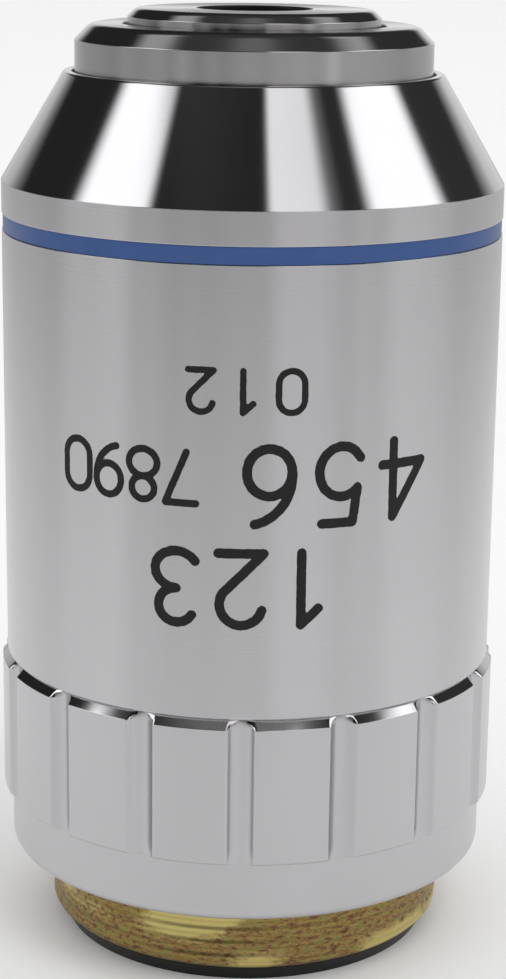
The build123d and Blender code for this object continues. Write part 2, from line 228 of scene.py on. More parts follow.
# %% Studio that the metal mirrors
# Bearings of a mirrored ray in degrees from the front, positive to the right, with the level that it meets
PANELS = [
    (-180, 0.02), (-99, 0.02), (-92, 1.7), (-60, 1.7), (-55, 0.012), (10, 0.012), (13, (1.32, 1.19, 1.25)),
    (40, (1.2, 1.1, 1.15)), (47, 0.22), (54, 0.03), (64, 0.035), (71, 1.7), (103, 1.7), (110, 0.04),
    (180, 0.03),
]
SKIRTING = [
    (-180, 0.8), (-150, 0.6), (-137, 0.45), (-117, 0.5), (-101, 0.25), (-88, 0.3), (-75, 0.0), (-64, 0.1),
    (-54, 0.05), (-44, 0.42), (-39, 0.2), (-34, 0.0), (-29, 0.1), (-24, 0.18), (-20, 0.0), (-15, 0.02),
    (-6, 0.18), (3, 0.15), (12, 0.0), (22, 0.0), (31, 0.12), (36, 0.0), (41, 0.0), (46, 0.3), (51, 0.75),
    (61, 0.4), (72, 0.25), (84, 0.25), (97, 0.3), (112, 0.5), (131, 0.7), (180, 0.8),
]
# High up only the panel at the front right goes on, and two pale patches hang behind
HIGH = [
    (-180, 0.03), (-128, 0.03), (-122, 0.5), (-110, 0.5), (-104, 0.05), (-60, 0.05), (9, 0.02), (13, 1.25),
    (40, 1.15), (47, 0.2), (54, 0.03), (108, 0.04), (116, 0.5), (128, 0.5), (136, 0.03), (180, 0.03),
]
CEILING = [(-180, 0.05), (-80, 0.05), (-55, 0.2), (55, 0.2), (80, 0.05), (180, 0.05)]
# The belts above the skirting: rise in degrees at which each begins, degrees of blur about it, and levels
BELTS = [(13, 4, PANELS), (49, 3, HIGH), (64, 3, CEILING)]
EVEN_LIGHT = 0.88       # level of the world for light that falls on dull surfaces

world = bpy.data.worlds.new("studio")
bpy.context.scene.world = world
world.use_nodes = True
sky = world.node_tree
ray = xyz_parts(sky, sky.nodes.new("ShaderNodeTexCoord").outputs["Generated"])
bearing = bearing_node(sky, ray)
rise = math_node(sky, "DIVIDE", math_node(sky, "ARCSINE", ray[2]), 0.5 * math.pi)
studio = bearing_ramp(sky, bearing, SKIRTING)
for foot, blur, levels in BELTS:
    above = ramp_node(sky, rise, [((foot - blur) / 90, 0.0), ((foot + blur) / 90, 1.0)])
    studio = mix_node(sky, above, studio, bearing_ramp(sky, bearing, levels))
light_path = sky.nodes.new("ShaderNodeLightPath")
seen = mix_node(sky, light_path.outputs["Is Glossy Ray"], (EVEN_LIGHT, EVEN_LIGHT, EVEN_LIGHT), studio)
seen = mix_node(sky, light_path.outputs["Is Camera Ray"], seen, (1.0, 1.0, 1.0))
sky.links.new(seen, sky.nodes["Background"].inputs["Color"])
print("studio:", len(PANELS), "stops for the panels,", len(SKIRTING), "under them")

# %% [markdown]
# ## Lamp
# The even world alone would leave the objective floating. One large soft lamp, high on the right, gives the
# floor its faint shadow. It isn't mirrored, because the panels already are the lights that the metal shows.

# %% Lamp
LAMP_PLACE, LAMP_AIM = Vector((0.9, -1.1, 2.2)), Vector((0, 0, 0.02))       # metres
LAMP_SIZE, LAMP_POWER = 1.2, 9.5        # metres and watts
lamp_data = bpy.data.lights.new("soft_lamp", "AREA")
lamp_data.shape = "DISK"
lamp_data.size = LAMP_SIZE
lamp_data.energy = LAMP_POWER
lamp = bpy.data.objects.new("soft_lamp", lamp_data)
lamp.location = LAMP_PLACE
lamp.rotation_euler = (LAMP_AIM - LAMP_PLACE).to_track_quat("-Z", "Y").to_euler()
lamp.visible_glossy = False
bpy.context.scene.collection.objects.link(lamp)
print("lamp", lamp_data.energy, "W")

# %% [markdown]
# ## Turned pieces
# Nearly every piece of an objective comes off a lathe: a closed outline, turned round the optical axis. A
# screw modifier could turn it, but a mesh written ring by ring keeps control of the edges. A real edge is
# never perfectly sharp, and the thin line of light along it is what makes metal look like metal. So each
# corner of an outline gets a small arc, and one more ring close by on either side keeps the flat part flat.


# %% Outlines with eased edges
def eased(outline, breaks, arc_steps=4):
    """A closed outline of (radius, height) with an arc of the given radius at each corner."""
    points = [np.array(p, float) for p in outline]
    count = len(points)
    result = []
    for i, corner in enumerate(points):
        size = breaks[i] if isinstance(breaks, (list, tuple)) else breaks
        back = points[i - 1] - corner
        ahead = points[(i + 1) % count] - corner
        back_length, ahead_length = np.linalg.norm(back), np.linalg.norm(ahead)
        back, ahead = back / back_length, ahead / ahead_length
        inner_angle = math.acos(max(-1, min(1, float(back @ ahead))))
        if size <= 0 or inner_angle > math.radians(178):
            result.append(corner)
            continue
        trim = min(size / math.tan(inner_angle / 2), 0.42 * back_length, 0.42 * ahead_length)
        radius = trim * math.tan(inner_angle / 2)
        support = 0.25 * trim
        centre = corner + (back + ahead) / np.linalg.norm(back + ahead) * radius / math.sin(inner_angle / 2)
        start, end = corner + back * trim, corner + ahead * trim
        result.append(start + back * support)
        spread = math.pi - inner_angle
        first = (start - centre) / radius
        turn = math.copysign(1, first[0] * (end - centre)[1] - first[1] * (end - centre)[0])
        for step in range(arc_steps + 1):
            a = turn * spread * step / arc_steps
            spoke = np.array((
                first[0] * math.cos(a) - first[1] * math.sin(a),
                first[0] * math.sin(a) + first[1] * math.cos(a),
            ))
            result.append(centre + spoke * radius)
        result.append(end + ahead * support)
    return result


def ring_faces(rings, steps, closed):
    """Faces between neighbouring rings of vertices; closed joins the last ring to the first as well."""
    faces = []
    for i in range(rings if closed else rings - 1):
        low, high = i * steps, (i + 1) % rings * steps
        for j in range(steps):
            k = (j + 1) % steps
            faces.append((low + j, low + k, high + k, high + j))
    return faces


def ringed_mesh(name, radii, heights, bearings):
    """A mesh from grids of radius and height in millimetres: one row per ring, one column per bearing."""
    x, y = radii * np.sin(bearings), -radii * np.cos(bearings)
    verts = np.stack([x, y, heights], -1).reshape(-1, 3) * MM
    mesh = bpy.data.meshes.new(name)
    mesh.from_pydata(verts.tolist(), [], ring_faces(*radii.shape, closed=True))
    return mesh


def turned_mesh(name, outline, steps):
    """A closed outline turned round the axis. Points on the axis give a ring of vertices in one place, which
    make_piece merges into one.
    """
    outline = np.array(outline, float)
    r, z = outline[:, 0], outline[:, 1]
    area = np.sum(r * np.roll(z, -1) - np.roll(r, -1) * z)
    if area < 0:
        r, z = r[::-1], z[::-1]
    bearings = np.arange(steps) * 2 * math.pi / steps
    grid = np.ones((len(r), steps))
    return ringed_mesh(name, grid * r[:, None], grid * z[:, None], bearings)


print("an outline of 4 corners gets", len(eased([(1, 0), (2, 0), (2, 1), (1, 1)], 0.05)), "points")


# %% Turn a mesh into a piece of the objective
def make_piece(mesh, finish, body, nodes=(), sharp=None):
    """Clean a mesh, shade it, give it its finish, and hand it to the frame."""
    piece = bpy.data.objects.new(mesh.name, mesh)
    bpy.context.scene.collection.objects.link(piece)
    work = bmesh.new()
    work.from_mesh(mesh)
    bmesh.ops.remove_doubles(work, verts=work.verts, dist=2e-7)
    bmesh.ops.recalc_face_normals(work, faces=work.faces)
    work.to_mesh(mesh)
    work.free()
    mesh.materials.append(finish)
    mesh.shade_smooth()
    if sharp is not None:
        mesh.set_sharp_from_angle(angle=math.radians(sharp))
    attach(piece, body)
    if nodes:
        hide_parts(*nodes)
    mesh.calc_loop_triangles()
    print(piece.name, "triangles:", len(mesh.loop_triangles))
    return piece


def polish_slopes(piece, finish, lowest, least=0.1, most=0.97):
    """Give slanting faces above a height a finish of their own; 0 is an upright face, 1 a level one."""
    piece.data.materials.append(finish)
    for face in piece.data.polygons:
        if face.center.z > lowest * MM and least < face.normal.z < most:
            face.material_index = len(piece.data.materials) - 1


# %% [markdown]
# ## Metal finishes
# The case is brass with chrome plating. A lathe leaves fine rings on it, so the satin parts blur what they
# mirror along the axis but hardly round it. That gives the soft vertical streaks. A plain rough shader
# would blur both ways. An anisotropic one does it, with its grain running round the axis, and a faint bump
# of rings breaks it up like the real tool marks.

# %% Lathe marks and grain
STAIN = 0.04            # how much duller the plating is in its clouds
RING_SPREAD = 0.12      # how far the roughness strays from ring to ring


def place_node(tree):
    """Where a point lies on its piece, in metres."""
    return tree.nodes.new("ShaderNodeTexCoord").outputs["Object"]


def along_outline(tree):
    """Height less radius: a value that changes along the outline of a turned piece, but not round it."""
    x, y, height = xyz_parts(tree, place_node(tree))
    flat = tree.nodes.new("ShaderNodeCombineXYZ")
    tree.links.new(x, flat.inputs[0])
    tree.links.new(y, flat.inputs[1])
    return math_node(tree, "SUBTRACT", height, length_node(tree, flat.outputs[0]))


def noise_node(tree, place, scale, detail, stretch=None, dimensions="3D", roughness=0.5):
    """A noise value; stretch squeezes the pattern along an axis."""
    node = tree.nodes.new("ShaderNodeTexNoise")
    node.noise_dimensions = dimensions
    node.inputs["Scale"].default_value = scale
    node.inputs["Detail"].default_value = detail
    node.inputs["Roughness"].default_value = roughness
    if dimensions == "1D":
        tree.links.new(place, node.inputs["W"])
    elif stretch:
        mapping = tree.nodes.new("ShaderNodeMapping")
        mapping.inputs["Scale"].default_value = stretch
        tree.links.new(place, mapping.inputs[0])
        tree.links.new(mapping.outputs[0], node.inputs["Vector"])
    else:
        tree.links.new(place, node.inputs["Vector"])
    return node.outputs["Fac"]


def bump_node(tree, shader, height, depth_mm, strength=1.0):
    """Fine relief of the given depth."""
    node = tree.nodes.new("ShaderNodeBump")
    node.inputs["Strength"].default_value = strength
    node.inputs["Distance"].default_value = depth_mm * MM
    tree.links.new(height, node.inputs["Height"])
    tree.links.new(node.outputs[0], shader.inputs["Normal"])


def vary_roughness(tree, shader, pattern, low, high):
    """Let the roughness follow a pattern, from one value to another."""
    node = tree.nodes.new("ShaderNodeMapRange")
    node.inputs["To Min"].default_value = low
    node.inputs["To Max"].default_value = high
    tree.links.new(pattern, node.inputs["Value"])
    tree.links.new(node.outputs[0], shader.inputs["Roughness"])


def cloudy_finish(name, dark, light, scale, detail):
    """A finish whose colour drifts between two tones, with its tree, its shader and the cloud itself."""
    material, tree, shader = new_finish(name)
    cloud = noise_node(tree, place_node(tree), scale, detail)
    tree.links.new(mix_node(tree, cloud, dark, light), shader.inputs["Base Color"])
    return material, tree, shader, cloud


def turned_metal(name, colour, roughness, grain=0.0, rings_mm=0.08, ring_depth_mm=0.0002):
    """Plated or bare metal from the lathe."""
    dull = tuple(c * (1 - STAIN) for c in colour)
    material, tree, shader, _ = cloudy_finish(name, dull, colour, 260, 3.0)
    shader.inputs["Metallic"].default_value = 1.0
    shader.inputs["Anisotropic"].default_value = grain
    shader.inputs["Anisotropic Rotation"].default_value = 0.25 if grain else 0.0
    if grain:
        tangent = tree.nodes.new("ShaderNodeTangent")
        tangent.direction_type = "RADIAL"
        tangent.axis = "Z"
        tree.links.new(tangent.outputs[0], shader.inputs["Tangent"])
    rings = noise_node(tree, along_outline(tree), 1 / (rings_mm * MM), 3.0, dimensions="1D", roughness=0.7)
    vary_roughness(tree, shader, rings, roughness * (1 - RING_SPREAD), roughness * (1 + RING_SPREAD))
    bump_node(tree, shader, rings, ring_depth_mm)
    return material


CHROME = (0.60, 0.60, 0.612)
satin_chrome = turned_metal("satin_chrome", CHROME, 0.26, grain=1.0)
bright_chrome = turned_metal("bright_chrome", CHROME, 0.09, grain=0.6, rings_mm=0.1, ring_depth_mm=0.0006)
ring_chrome = turned_metal("ring_chrome", (0.57, 0.57, 0.582), 0.32, grain=0.7)
print("chrome finishes:", satin_chrome.name, bright_chrome.name, ring_chrome.name)

# %% [markdown]
# ## Outer sleeve
# One thin shell: a satin cylinder that closes to a polished cone round the nose. It is one piece on the
# real objective, turned and then polished on the cone only. Two objects could share the edge, but one mesh
# with two finishes keeps that edge as crisp as a lathe tool leaves it.

# %% Sleeve
SLEEVE_RADIUS, SLEEVE_BORE = 12.44, 11.40
GRIP_TOP, CONE_FOOT, CONE_TOP = 14.75, 38.73, 44.00
MOUTH_RADIUS, MOUTH_RIM, MOUTH_DEPTH = 8.95, 9.33, 1.8
BORE_END = CONE_FOOT - 0.8
BAND_FOOT, BAND_TOP, BAND_GROOVE = 36.30, 37.14, 0.3
sleeve_corners = [
    (SLEEVE_BORE, GRIP_TOP), (SLEEVE_RADIUS, GRIP_TOP),
    (SLEEVE_RADIUS, BAND_FOOT), (SLEEVE_RADIUS - BAND_GROOVE, BAND_FOOT),
    (SLEEVE_RADIUS - BAND_GROOVE, BAND_TOP), (SLEEVE_RADIUS, BAND_TOP),
    (SLEEVE_RADIUS, CONE_FOOT), (MOUTH_RIM, CONE_TOP),
    (MOUTH_RADIUS, CONE_TOP), (MOUTH_RADIUS, CONE_TOP - MOUTH_DEPTH),
    (SLEEVE_BORE, BORE_END),
]
sleeve_breaks = [0.05, 0.08, 0.03, 0.0, 0.0, 0.03, 0.05, 0.15, 0.05, 0.05, 0.1]
outer_sleeve = make_piece(
    turned_mesh("outer_sleeve_fine", eased(sleeve_corners, sleeve_breaks), 256),
    satin_chrome, "barrel", ["outer_sleeve"],
)
polish_slopes(outer_sleeve, bright_chrome, CONE_FOOT + 0.03, least=0.2, most=2)

# %% [markdown]
# ## Numbers
# Objectives carry engraved marks filled with black paint, cut by a round tool that follows a single line.
# Here they are plain counting numbers. They stand on their heads, because the objective hangs nose down on
# the microscope. A text object would give the wrong, shaded strokes, and tubes along the lines would cross
# each other. Instead each digit is a patch of paint: a fine grid over the sleeve keeps only what lies
# within half a stroke of the line, and the kept cells are wrapped round the sleeve as one closed skin.


# %% Lines of the digits
def arc(cx, cy, rx, ry, start, end, steps=14):
    """Points on an ellipse between two angles in degrees."""
    turns = np.radians(np.linspace(start, end, steps))
    return [(cx + rx * math.cos(t), cy + ry * math.sin(t)) for t in turns]


# Each digit is one high, and its lines are lists of points
DIGITS = {
    "0": [arc(0.31, 0.69, 0.31, 0.31, 0, 180) + arc(0.31, 0.31, 0.31, 0.31, 180, 360) + [(0.62, 0.69)]],
    "1": [[(0.14, 0.78), (0.38, 1.0), (0.38, 0.0)]],
    "2": [arc(0.30, 0.71, 0.29, 0.29, 165, -35) + [(0.0, 0.0), (0.61, 0.0)]],
    "3": [arc(0.29, 0.76, 0.25, 0.24, 150, -90) + arc(0.29, 0.26, 0.30, 0.26, 90, -150)],
    "4": [[(0.46, 0.0), (0.46, 1.0), (0.0, 0.30), (0.63, 0.30)]],
    "5": [[(0.55, 1.0), (0.13, 1.0), (0.07, 0.55)] + arc(0.29, 0.33, 0.30, 0.33, 125, -150)],
    "6": [arc(0.62, 0.36, 0.60, 0.64, 102, 178) + arc(0.31, 0.31, 0.29, 0.31, 180, 540, 24)],
    "7": [[(0.0, 1.0), (0.61, 1.0), (0.19, 0.0)]],
    "8": [arc(0.31, 0.77, 0.24, 0.23, -90, 270, 22), arc(0.31, 0.27, 0.30, 0.27, 90, 450, 24)],
    "9": [arc(0.0, 0.64, 0.60, 0.64, -78, -2) + arc(0.31, 0.69, 0.29, 0.31, 0, 360, 24)],
}
print("digits:", "".join(DIGITS))


# %% Patches of paint on the sleeve
# In millimetres: cells of the grid, unevenness of the edge, how far the paint stands out and reaches in
PAINT_CELL, PAINT_RAGGED = 0.075, 0.012
PAINT_RISE, PAINT_DEPTH = 0.012, 0.09


def line_distance(lines, u, v):
    """Distance of each grid point from the nearest of the lines."""
    nearest = np.full(u.shape, 1e9)
    for line in lines:
        for (ax, ay), (bx, by) in zip(line, line[1:]):
            dx, dy = bx - ax, by - ay
            t = np.clip(((u - ax) * dx + (v - ay) * dy) / (dx * dx + dy * dy + 1e-12), 0, 1)
            nearest = np.minimum(nearest, np.hypot(u - ax - t * dx, v - ay - t * dy))
    return nearest


def cells_above_zero(u, v, level):
    """The cells of a grid where a level is above zero, with those on the edge cut to fit."""
    verts, index, faces = [], {}, []

    def vertex(key, place):
        if key not in index:
            index[key] = len(verts)
            verts.append(place)
        return index[key]

    for i in range(u.shape[0] - 1):
        for j in range(u.shape[1] - 1):
            corners = [(i, j), (i + 1, j), (i + 1, j + 1), (i, j + 1)]
            if all(level[c] <= 0 for c in corners):
                continue
            ring = []
            for here, there in zip(corners, corners[1:] + corners[:1]):
                if level[here] > 0:
                    ring.append(vertex(here, (u[here], v[here])))
                if (level[here] > 0) != (level[there] > 0):
                    t = level[here] / (level[here] - level[there])
                    t = min(0.95, max(0.05, t))
                    place = (u[here] + t * (u[there] - u[here]), v[here] + t * (v[there] - v[here]))
                    ring.append(vertex((min(here, there), max(here, there)), place))
            if len(ring) > 2:
                faces.append(ring)
    return verts, faces


def paint_patch(lines, half_stroke, rng):
    """A flat patch of paint within half a stroke of the lines, with slightly ragged edges."""
    pts = np.array([p for line in lines for p in line])
    low = pts.min(0) - half_stroke - 2 * PAINT_CELL
    high = pts.max(0) + half_stroke + 2 * PAINT_CELL
    us, vs = np.arange(low[0], high[0], PAINT_CELL), np.arange(low[1], high[1], PAINT_CELL)
    u, v = np.meshgrid(us, vs, indexing="ij")
    rough = rng.normal(size=u.shape)
    rough = (rough + np.roll(rough, 1, 0) + np.roll(rough, 1, 1) + np.roll(np.roll(rough, 1, 0), 1, 1)) / 4
    return cells_above_zero(u, v, half_stroke - line_distance(lines, u, v) + PAINT_RAGGED * rough)


def wrapped_patch(verts, faces, radius, depth):
    """A flat patch wrapped round the axis, with walls that go down into the metal."""
    count = len(verts)
    places = []
    for layer in (radius, radius - depth):
        for u, v in verts:
            a = u / radius
            places.append((layer * math.sin(a) * MM, -layer * math.cos(a) * MM, v * MM))
    skin = [tuple(f) for f in faces] + [tuple(count + k for k in reversed(f)) for f in faces]
    edges = {}
    for f in faces:
        for here, there in zip(f, f[1:] + f[:1]):
            edges[(here, there)] = True
    for here, there in edges:
        if (there, here) not in edges:
            skin.append((there, here, here + count, there + count))
    return places, skin


def number_lines(digits, height, right_end, foot, pitch):
    """Lines of a row of digits that stands on its head: its first digit is the one furthest right."""
    row = []
    for k, digit in enumerate(digits):
        start = right_end - k * pitch
        row.append([
            [(start - x * height, foot + (1 - y) * height) for x, y in line] for line in DIGITS[digit]
        ])
    return row


print("paint is cut from cells of", PAINT_CELL, "mm")

# %% Rows of numbers
ink, ink_tree, ink_shader, ink_cloud = cloudy_finish(
    "black_paint", (0.004, 0.004, 0.005), (0.014, 0.014, 0.015), 3000, 3.0,
)
ink_shader.inputs["Roughness"].default_value = 0.6
ink_shader.inputs["Specular IOR Level"].default_value = 0.3
bump_node(ink_tree, ink_shader, ink_cloud, 0.004, 0.5)

# Each row: its digits, their full height, its right end, its lower edge, the pitch and the stroke
NUMBER_ROWS = [
    ("123", 3.94, 4.05, 19.42, 3.1, 0.46),
    ("456", 4.10, 9.0, 24.25, 3.35, 0.46),
    ("7890", 2.75, -2.24, 25.2, 1.85, 0.34),
    ("012", 2.25, 2.75, 29.55, 2.1, 0.30),
]
rng = np.random.default_rng(7)
for digits, full_height, right_end, foot, pitch, stroke in NUMBER_ROWS:
    row_verts, row_faces = [], []
    for lines in number_lines(digits, full_height - stroke, right_end, foot, pitch):
        verts, faces = paint_patch(lines, stroke / 2, rng)
        places, skin = wrapped_patch(verts, faces, SLEEVE_RADIUS + PAINT_RISE, PAINT_DEPTH)
        row_faces += [tuple(k + len(row_verts) for k in f) for f in skin]
        row_verts += places
    mesh = bpy.data.meshes.new("numbers_" + digits)
    mesh.from_pydata(row_verts, [], row_faces)
    make_piece(mesh, ink, "barrel", sharp=30)

# %% [markdown]
# ## Colour code
# A ring of blue enamel in a groove tells the magnification at a glance. Blue faces on the sleeve would do
# from afar, but enamel sinks a little as it dries. So it is a turned ring of its own, just under the metal.

# %% Blue ring
ENAMEL_SINK = 0.05
enamel, enamel_tree, enamel_shader, enamel_cloud = cloudy_finish(
    "blue_enamel", (0.020, 0.062, 0.20), (0.030, 0.085, 0.27), 700, 3.0,
)
enamel_shader.inputs["Roughness"].default_value = 0.32
bump_node(enamel_tree, enamel_shader, enamel_cloud, 0.01, 0.5)
band_corners = [
    (SLEEVE_RADIUS - BAND_GROOVE, BAND_FOOT), (SLEEVE_RADIUS - ENAMEL_SINK, BAND_FOOT),
    (SLEEVE_RADIUS - ENAMEL_SINK, BAND_TOP), (SLEEVE_RADIUS - BAND_GROOVE, BAND_TOP),
]
make_piece(
    turned_mesh("colour_band_fine", eased(band_corners, [0, 0.04, 0.04, 0]), 256),
    enamel, "barrel", ["colour_band"],
)

# %% [markdown]
# ## Grip ring
# The ring by which the objective is screwed into the microscope. Its sixteen flutes are milled with a round
# cutter, so each is part of a circle, and the wide lands between them keep the round of the lathe. Cutting
# with booleans would leave ragged faces. Here the whole outside is one surface, and at each point it lies on
# whichever is deeper, the turned outline or the flute. The two meet in a small soft edge, as after plating.

# %% Grip ring
SHOULDER, LAND_FOOT = 4.33, 7.43
FLANGE_TOP = SHOULDER + 0.8
LAND_RADIUS, LAND_BEVEL, GRIP_BAND_RADIUS = 12.69, 0.45, 12.25
FLUTES, FLUTE_FLOOR, FLUTE_CUTTER, FLUTE_EDGE = 16, 12.27, 0.7524, 0.12
BARREL_GRIP_RADIUS, THREAD_RADIUS = 11.0, 10.16
ring_corners = [
    (THREAD_RADIUS, SHOULDER), (GRIP_BAND_RADIUS, SHOULDER),
    (GRIP_BAND_RADIUS, LAND_FOOT), (LAND_RADIUS, LAND_FOOT),
    (LAND_RADIUS, GRIP_TOP - LAND_BEVEL), (LAND_RADIUS - LAND_BEVEL, GRIP_TOP),
    (BARREL_GRIP_RADIUS, GRIP_TOP), (BARREL_GRIP_RADIUS, FLANGE_TOP), (THREAD_RADIUS, FLANGE_TOP),
]
ring_breaks = [0.05, 0.55, 0.03, 0.36, 0.04, 0.04, 0.03, 0.03, 0.03]


def filled_outline(outline, longest):
    """More points on the long straight runs of an outline."""
    result = []
    for here, there in zip(outline, outline[1:] + outline[:1]):
        pieces = max(1, math.ceil(np.linalg.norm(there - here) / longest))
        result += [here + (there - here) * i / pieces for i in range(pieces)]
    return result


def soft_least(first, second, blend):
    """The lesser of two grids, with a round of the given size where they meet."""
    reach = np.clip(0.5 + 0.5 * (second - first) / blend, 0, 1)
    return second * (1 - reach) + first * reach - blend * reach * (1 - reach)


RING_SPACING = 0.35     # longest step along the outline, in millimetres
ring_outline = np.array(filled_outline(eased(ring_corners, ring_breaks, arc_steps=8), RING_SPACING))
sector = 2 * math.pi / FLUTES
flute_half = 0.0535     # half of a flute, in radians: bearings lie closest at its two edges
within = np.concatenate([
    np.linspace(-sector / 2, -flute_half * 1.5, 6)[:-1],
    np.linspace(-flute_half * 1.5, -flute_half * 0.7, 9)[:-1],
    np.linspace(-flute_half * 0.7, flute_half * 0.7, 11)[:-1],
    np.linspace(flute_half * 0.7, flute_half * 1.5, 9)[:-1],
    np.linspace(flute_half * 1.5, sector / 2, 6)[:-1],
])
bearings = np.concatenate([within + sector * i for i in range(FLUTES)])
off_flute = np.tile(within, FLUTES)
cutter_place = FLUTE_FLOOR + FLUTE_CUTTER
inside_cut = np.clip(FLUTE_CUTTER**2 - (cutter_place * np.sin(off_flute)) ** 2, 0, None)
flute_surface = cutter_place * np.cos(off_flute) - np.sqrt(inside_cut)
turned_radius = ring_outline[:, 0:1] * np.ones((1, len(bearings)))
outside = (ring_outline[:, 0:1] > GRIP_BAND_RADIUS - 0.02) & (ring_outline[:, 1:2] > LAND_FOOT - 0.01)
cut_radius = soft_least(turned_radius, flute_surface[None, :], FLUTE_EDGE)
ring_radius = np.where(outside, cut_radius, turned_radius)
ring_height = ring_outline[:, 1:2] * np.ones((1, len(bearings)))
grip_ring = make_piece(
    ringed_mesh("grip_ring_fine", ring_radius, ring_height, bearings),
    ring_chrome, "barrel", ["grip_ring"],
)
polish_slopes(grip_ring, bright_chrome, GRIP_TOP - LAND_BEVEL - 0.02, least=0.3, most=0.95)
print("flutes:", FLUTES, "deep", round(LAND_RADIUS - FLUTE_FLOOR, 2), "mm")

# %% [markdown]
# ## Main barrel and its thread
# Only the objective thread of the brass barrel shows. It has 36 turns to the inch with a rounded crest and
# root. A helix curve with a bevel would leave a loose wire on a tube, so the thread is worked into the
# surface itself: the radius at each point depends on its height and on how far round it is.

# %% Brass
PAINTED_HIGHLIGHT_TOP, PAINTED_HIGHLIGHT_FADE = 1.95, 0.75    # painted highlight: the lower edge is painted brighter in patches up to about here
brass, brass_tree, brass_shader = new_finish("bare_brass")
brass_place = place_node(brass_tree)
brass_shader.inputs["Metallic"].default_value = 1.0
blotch = noise_node(brass_tree, brass_place, 2600, 4.0, stretch=(1, 1, 2.2), roughness=0.7)
tarnish = ramp_node(brass_tree, blotch, [
    (0.36, (0.13, 0.08, 0.055)), (0.44, (0.28, 0.15, 0.07)), (0.50, (0.33, 0.22, 0.08)),
    (0.56, (0.36, 0.30, 0.10)), (0.66, (0.16, 0.20, 0.07)),
])
brass_height = xyz_parts(brass_tree, brass_place)[2]
# Painted highlight: towards the lower edge the brass is painted a brighter yellow, in patches broken up by
# the blotches
low_edge = math_node(
    brass_tree, "MULTIPLY_ADD", brass_height, -1 / (PAINTED_HIGHLIGHT_FADE * MM), PAINTED_HIGHLIGHT_TOP / PAINTED_HIGHLIGHT_FADE,
)
patches = noise_node(brass_tree, brass_place, 170, 1.0)
patches = math_node(brass_tree, "MULTIPLY_ADD", patches, 6.0, -3.0)
painted_highlight_mask = math_node(brass_tree, "MULTIPLY", low_edge, patches)
painted_highlight_mask = math_node(brass_tree, "MULTIPLY_ADD", blotch, 1.2, math_node(brass_tree, "SUBTRACT", painted_highlight_mask, 0.75))
painted_highlight = ramp_node(brass_tree, painted_highlight_mask, [(0.0, 0.0), (0.6, 1.0)])
tarnish_and_painted_highlight = mix_node(brass_tree, painted_highlight, tarnish, (0.62, 0.52, 0.20))
brass_tree.links.new(tarnish_and_painted_highlight, brass_shader.inputs["Base Color"])
vary_roughness(brass_tree, brass_shader, blotch, 0.34, 0.55)
bump_node(brass_tree, brass_shader, blotch, 0.01, 0.6)
print("brass is rubbed bright up to about", PAINTED_HIGHLIGHT_TOP, "mm")

# %% Barrel
THREAD_PITCH = 25.4 / 36
THREAD_DEPTH = 0.07               # worn and filled with old lacquer, so it only shows as fine lines
THREAD_FADE, THREAD_ROW = 0.1, 0.042
THREAD_CHAMFER, RELIEF_WIDTH, RELIEF_DEPTH = 0.28, 0.6, 0.5
REAR_LIP_HEIGHT, CHAMBER_RADIUS, GUIDE_RADIUS = 0.83, 8.70, 8.00
BARREL_TOP, BARREL_BODY, CHAMBER_DEPTH = 38.53, 9.80, 17.87
THREAD_TOP, SLEEVE_SEAT = SHOULDER - RELIEF_WIDTH, GRIP_TOP + 5.0
barrel_corners = [
    (CHAMBER_RADIUS, REAR_LIP_HEIGHT), (THREAD_RADIUS - THREAD_CHAMFER, REAR_LIP_HEIGHT),
    (THREAD_RADIUS, REAR_LIP_HEIGHT + THREAD_CHAMFER), (THREAD_RADIUS, THREAD_TOP),
    (THREAD_RADIUS - RELIEF_DEPTH, THREAD_TOP), (THREAD_RADIUS - RELIEF_DEPTH, SHOULDER),
    (THREAD_RADIUS, SHOULDER), (THREAD_RADIUS, FLANGE_TOP),
    (BARREL_GRIP_RADIUS, FLANGE_TOP), (BARREL_GRIP_RADIUS, GRIP_TOP),
    (SLEEVE_BORE, GRIP_TOP), (SLEEVE_BORE, SLEEVE_SEAT),
    (BARREL_BODY, SLEEVE_SEAT), (BARREL_BODY, BARREL_TOP),
    (GUIDE_RADIUS, BARREL_TOP), (GUIDE_RADIUS, CHAMBER_DEPTH), (CHAMBER_RADIUS, CHAMBER_DEPTH),
]
corner_rows = eased(barrel_corners, 0.04, arc_steps=3)
barrel_outline = np.array(filled_outline(corner_rows, THREAD_ROW))
# Rows lie close together on the thread only: elsewhere those of the corners are enough
low_enough = barrel_outline[:, 1] < THREAD_TOP + 0.01
keep = low_enough & (barrel_outline[:, 0] > THREAD_RADIUS - RELIEF_DEPTH - 0.02)
corner_gaps = [np.min(np.linalg.norm(np.array(corner_rows) - p, axis=1)) for p in barrel_outline]
barrel_outline = barrel_outline[keep | (np.array(corner_gaps) < 1e-6)]
steps = 192
bearings = np.arange(steps) * 2 * math.pi / steps
rows = barrel_outline[:, 1:2]
phase = rows / THREAD_PITCH - bearings[None, :] / (2 * math.pi)
groove = 0.5 - 0.5 * np.cos(2 * math.pi * phase)
groove = np.clip(groove * 1.25 - 0.12, 0, 1)        # small flats on the crest and in the root
fade_out = np.clip((THREAD_TOP - THREAD_FADE / 2 - rows) / THREAD_FADE, 0, 1)
fade_in = np.clip((rows - REAR_LIP_HEIGHT) / THREAD_FADE, 0, 1)
on_thread = (barrel_outline[:, 0:1] > THREAD_RADIUS - THREAD_CHAMFER - 0.02) & (rows < THREAD_TOP + 0.001)
threaded = np.minimum(barrel_outline[:, 0:1], THREAD_RADIUS - THREAD_DEPTH * groove * (fade_out * fade_in))
barrel_radius = np.where(on_thread, threaded, barrel_outline[:, 0:1] * np.ones((1, steps)))
make_piece(
    ringed_mesh("main_barrel_fine", barrel_radius, rows * np.ones((1, steps)), bearings),
    brass, "barrel", ["main_barrel"], sharp=50,
)
print("thread pitch", round(THREAD_PITCH, 4), "mm")

